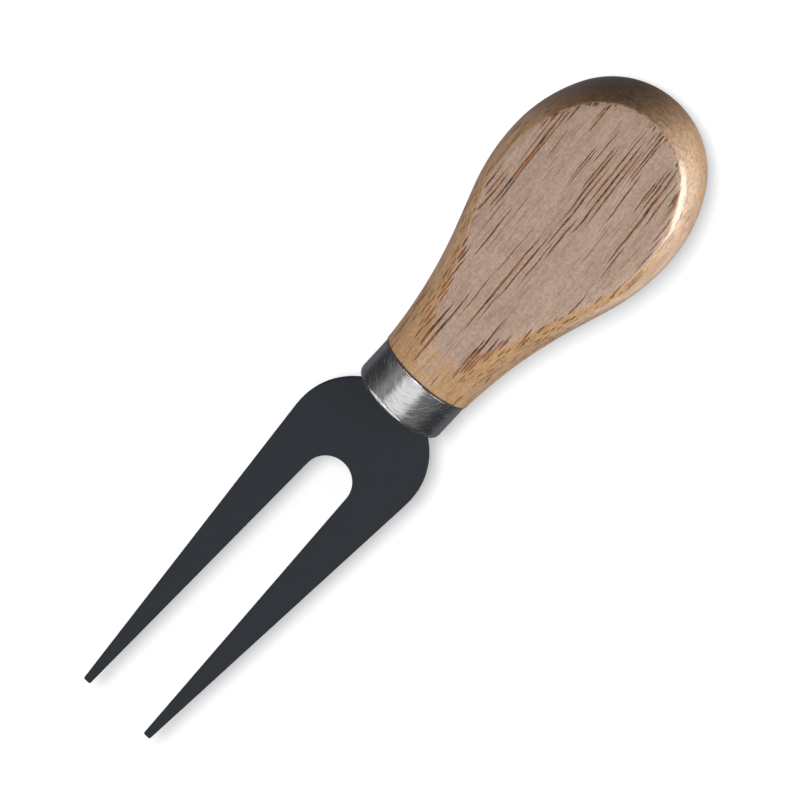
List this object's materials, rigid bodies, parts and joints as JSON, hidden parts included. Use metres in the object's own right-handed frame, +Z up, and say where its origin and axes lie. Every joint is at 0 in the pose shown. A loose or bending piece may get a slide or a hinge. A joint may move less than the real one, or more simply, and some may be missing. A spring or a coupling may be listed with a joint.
{
  "type": "cheese fork",
  "caption": "Small two-tine cheese fork: a flat black-coated steel blade, a round polished steel ferrule and a paddle-shaped turned wooden handle with two flats.",
  "frame": {"origin": "under the middle of the fork, halfway between the handle's end and the tine tips, on the lower flat that it rests on", "axes": "+Y along the fork from the handle's end to the tine tips, +Z up from the lower flat, +X across the blade"},
  "size_m": [0.032, 0.1318, 0.016],
  "materials": {
    "blade_coating": "satin black coating on sheet steel",
    "ferrule_steel": "polished stainless steel with fine scratches",
    "handle_wood": "lacquered open-grained hardwood, sanded flats",
    "adhesive": "cured epoxy"
  },
  "bodies": {
    "root": {"fork_blade": "blade_coating", "ferrule": "ferrule_steel", "handle": "handle_wood", "tang_adhesive": "adhesive"}
  },
  "joints": []
}
